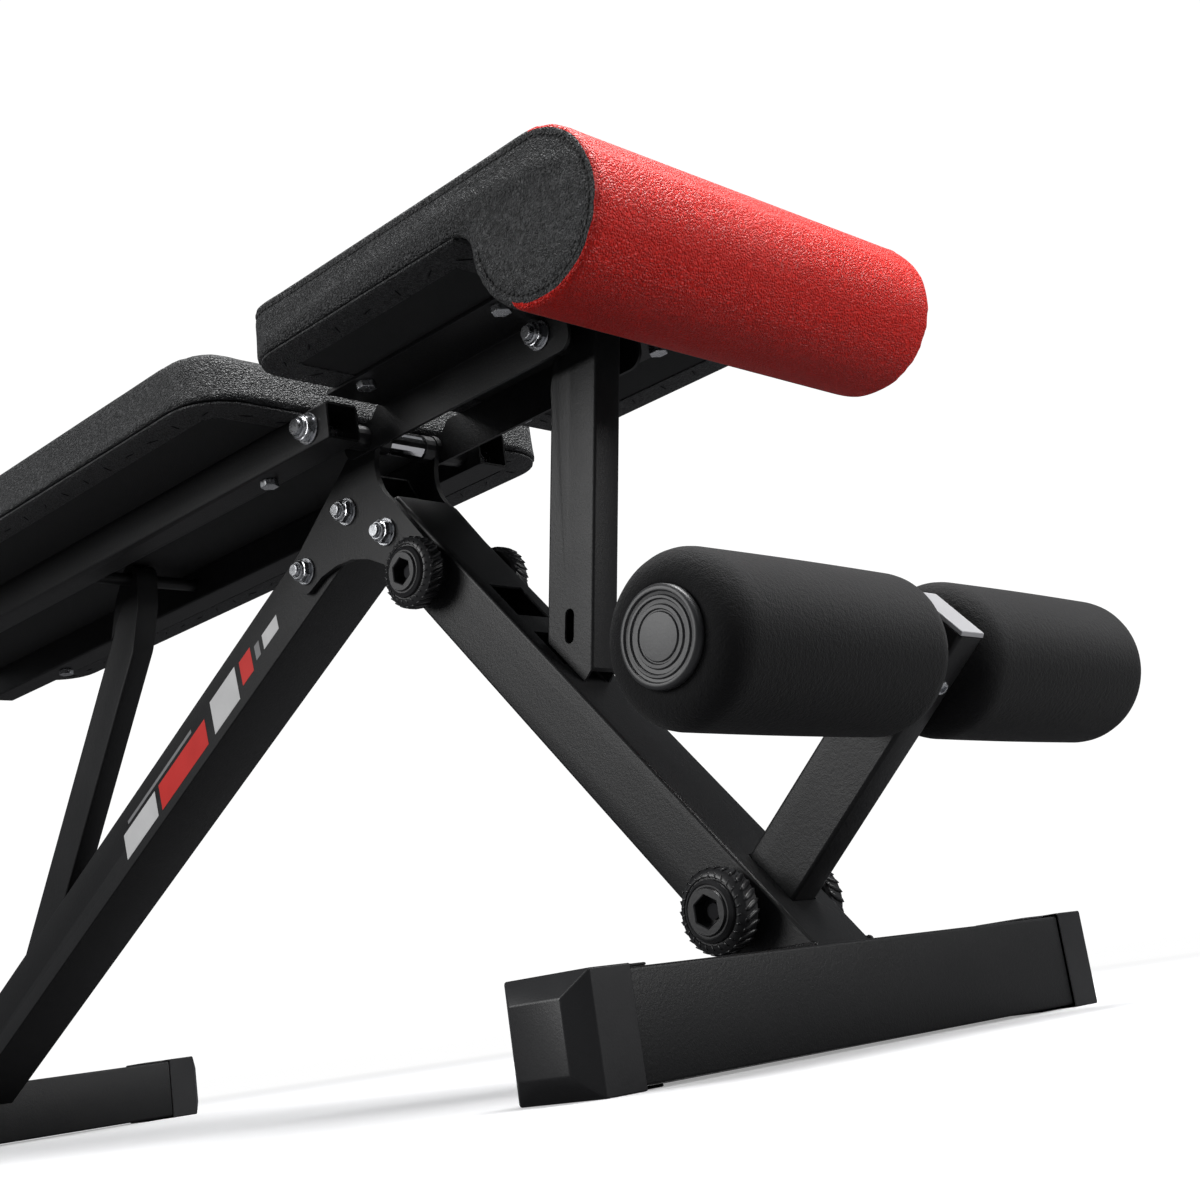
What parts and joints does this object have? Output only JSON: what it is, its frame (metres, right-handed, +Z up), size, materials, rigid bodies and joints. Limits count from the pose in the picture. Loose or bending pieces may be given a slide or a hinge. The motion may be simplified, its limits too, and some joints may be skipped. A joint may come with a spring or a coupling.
{
  "type": "roman chair",
  "caption": "Folding roman chair: flat seat with a knee roll, hinged backrest with a prop on a ladder of windows, and foam ankle rollers on an arm.",
  "frame": {"origin": "on the floor under the middle of the bench's overall box", "axes": "+X along the bench towards the ankle rollers, +Y across it to its right-hand side, +Z up"},
  "size_m": [1.3289, 0.516, 0.5693],
  "materials": {
    "powder_coat": "satin black powder coat",
    "zinc": "bright zinc plate",
    "black_plastic": "moulded black",
    "grey_plastic": "moulded light grey",
    "foam": "matte closed-cell foam",
    "black_vinyl": "grained black vinyl",
    "red_vinyl": "grained red vinyl",
    "plywood": "plain plywood"
  },
  "bodies": {
    "rear_frame": {"rear_foot": "powder_coat", "rear_foot_cap_left": "black_plastic", "rear_foot_cap_right": "black_plastic", "rear_leg": "powder_coat", "gusset_plate_left": "powder_coat", "gusset_plate_right": "powder_coat", "leg_bolt_low": "zinc", "leg_bolt_high": "zinc", "leg_bolt_fold": "zinc", "leg_nut_low": "zinc", "leg_nut_high": "zinc", "leg_nut_fold": "zinc", "pivot_axle": "zinc", "pivot_sleeve": "zinc", "pivot_nut_left": "zinc", "pivot_nut_right": "zinc", "pivot_bush_left": "black_plastic", "pivot_bush_right": "black_plastic", "rail_spacer_left": "black_plastic", "rail_spacer_right": "black_plastic"},
    "front_frame": {"front_foot": "powder_coat", "front_foot_cap_left": "black_plastic", "front_foot_cap_right": "black_plastic", "front_leg": "powder_coat", "lock_stud": "zinc", "clamp_stud": "zinc", "roller_arm": "powder_coat", "arm_cap": "grey_plastic", "roller_axle": "zinc", "roller_cap_left": "black_plastic", "roller_cap_right": "black_plastic"},
    "roller_left": {"foam_roller_left": "foam"},
    "roller_right": {"foam_roller_right": "foam"},
    "knob_lock_left": {"lock_knob_left": "black_plastic"},
    "knob_lock_right": {"lock_knob_right": "black_plastic"},
    "knob_clamp_left": {"clamp_knob_left": "black_plastic"},
    "knob_clamp_right": {"clamp_knob_right": "black_plastic"},
    "seat": {"seat_pad": "red_vinyl", "seat_board": "plywood", "seat_rail_left": "powder_coat", "seat_rail_right": "powder_coat", "post_bolt": "zinc", "post_nut": "zinc", "seat_bolt_1": "zinc", "seat_bolt_2": "zinc", "seat_bolt_3": "zinc", "seat_bolt_4": "zinc"},
    "seat_prop": {"seat_post": "powder_coat"},
    "backrest": {"back_pad": "black_vinyl", "back_board": "plywood", "back_rail_left": "powder_coat", "back_rail_right": "powder_coat", "cross_rod": "powder_coat", "back_bolt_1": "zinc", "back_bolt_2": "zinc", "back_bolt_3": "zinc", "back_bolt_4": "zinc"},
    "back_prop": {"back_strut": "powder_coat"}
  },
  "joints": [
    {"name": "front_leg_fold", "type": "hinge", "parent": "rear_frame", "child": "front_frame", "pos_m": [0.19253, 0, 0.42681], "axis": [0, 1, 0], "range_deg": [0, 75]},
    {"name": "backrest_tilt", "type": "hinge", "parent": "rear_frame", "child": "backrest", "pos_m": [0.1845, 0, 0.506], "axis": [0, 1, 0], "range_deg": [0, 32]},
    {"name": "back_prop_swing", "type": "hinge", "parent": "backrest", "child": "back_prop", "pos_m": [-0.2155, 0, 0.506], "axis": [0, -1, 0], "range_deg": [0, 62.8]},
    {"name": "seat_tilt", "type": "hinge", "parent": "rear_frame", "child": "seat", "pos_m": [0.1845, 0, 0.506], "axis": [0, -1, 0], "range_deg": [0, 10.4]},
    {"name": "seat_prop_swing", "type": "hinge", "parent": "seat", "child": "seat_prop", "pos_m": [0.3885, 0, 0.5135], "axis": [0, 1, 0], "range_deg": [0, 17.7]},
    {"name": "roller_left_spin", "type": "hinge", "parent": "front_frame", "child": "roller_left", "pos_m": [0.61588, -0.117, 0.22137], "axis": [0, 1, 0], "continuous": true},
    {"name": "roller_right_spin", "type": "hinge", "parent": "front_frame", "child": "roller_right", "pos_m": [0.61588, 0.117, 0.22137], "axis": [0, 1, 0], "continuous": true},
    {"name": "lock_knob_left_turn", "type": "hinge", "parent": "front_frame", "child": "knob_lock_left", "pos_m": [0.23069, -0.045, 0.38181], "axis": [0, 1, 0], "continuous": true},
    {"name": "lock_knob_right_turn", "type": "hinge", "parent": "front_frame", "child": "knob_lock_right", "pos_m": [0.23069, 0.045, 0.38181], "axis": [0, 1, 0], "continuous": true},
    {"name": "clamp_knob_left_turn", "type": "hinge", "parent": "front_frame", "child": "knob_clamp_left", "pos_m": [0.47615, -0.045, 0.09238], "axis": [0, 1, 0], "continuous": true},
    {"name": "clamp_knob_right_turn", "type": "hinge", "parent": "front_frame", "child": "knob_clamp_right", "pos_m": [0.47615, 0.045, 0.09238], "axis": [0, 1, 0], "continuous": true}
  ],
  "couplings": [
    {"joint": "back_prop_swing", "follows": "backrest_tilt", "ratio": 1.96},
    {"joint": "seat_prop_swing", "follows": "seat_tilt", "ratio": 1.7}
  ]
}
